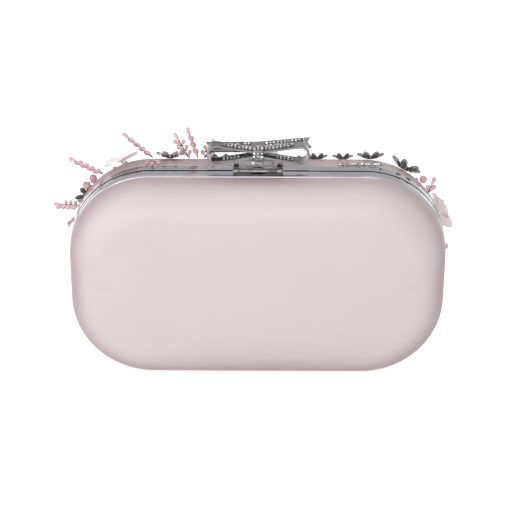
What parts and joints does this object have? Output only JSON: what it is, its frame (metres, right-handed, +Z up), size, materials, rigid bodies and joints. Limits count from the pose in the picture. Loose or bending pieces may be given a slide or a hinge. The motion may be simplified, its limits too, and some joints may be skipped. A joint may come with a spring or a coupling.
{
  "type": "evening bag",
  "caption": "Box-frame evening bag: pale satin shells in a polished metal frame with a crystal bow clasp and a beaded, flowered front.",
  "frame": {"origin": "middle of the bottom edge, on the plane where the two halves meet", "axes": "+Z up, +X along the bag's width to the right seen from the plain back, -Y out of the plain back, +Y out of the dressed front"},
  "size_m": [0.2135, 0.0656, 0.1252],
  "materials": {
    "polished_frame": "polished nickel plate",
    "clasp_metal": "polished nickel plate on zinc",
    "steel_pin": "drawn steel",
    "spring_steel": "blued spring steel",
    "satin": "satin",
    "wadding": "soft wadding",
    "shell_plastic": "moulded",
    "lining_cloth": "woven lining",
    "bow_metal": "rhodium plate",
    "clear_crystal": "cut and polished",
    "rose_crystal": "cut and polished",
    "drop_glass": "pressed glass",
    "sheer_cloth": "sheer organza",
    "setting_metal": "silver plate",
    "wire_metal": "silver-plated wire",
    "seed_glass": "silver-lined glass"
  },
  "bodies": {
    "back_half": {"back_frame": "polished_frame", "back_shell": "shell_plastic", "back_padding": "wadding", "back_satin": "satin", "back_lining": "lining_cloth", "back_hinge_leaf": "clasp_metal", "back_hinge_rivets": "steel_pin", "hinge_pin": "steel_pin", "clasp_bracket": "clasp_metal", "bracket_rivets": "steel_pin", "clasp_pin": "steel_pin", "clasp_spring": "spring_steel"},
    "front_half": {"front_frame": "polished_frame", "front_shell": "shell_plastic", "front_padding": "wadding", "front_satin": "satin", "front_lining": "lining_cloth", "front_hinge_leaf": "clasp_metal", "front_hinge_rivets": "steel_pin", "catch_plate": "clasp_metal", "catch_tongue": "spring_steel", "catch_rivets": "steel_pin", "flower_settings": "setting_metal", "flower_petals": "clear_crystal", "flower_centres": "rose_crystal", "organza_petals": "sheer_cloth", "organza_centres": "rose_crystal", "spray_wires": "wire_metal", "drop_beads_left": "drop_glass", "drop_beads_right": "drop_glass", "drop_beads_face": "drop_glass", "round_beads": "drop_glass", "seed_beads": "seed_glass"},
    "clasp_lever": {"clasp_lever": "clasp_metal", "bow_ribbon": "bow_metal", "bow_studs": "steel_pin", "bow_loop_stones": "clear_crystal", "bow_tail_stones": "clear_crystal", "bow_knot_stones": "clear_crystal"}
  },
  "joints": [
    {"name": "frame_hinge", "type": "hinge", "parent": "back_half", "child": "front_half", "pos_m": [0, 0, 0.001], "axis": [-1, 0, 0], "range_deg": [0, 80], "deforming": ["catch_tongue"]},
    {"name": "clasp_hinge", "type": "hinge", "parent": "back_half", "child": "clasp_lever", "pos_m": [0, -0.0046, 0.1123], "axis": [1, 0, 0], "range_deg": [0, 60], "stiffness_Nm_per_rad": 0.02, "springref_deg": -17.19, "deforming": ["clasp_spring"]}
  ]
}
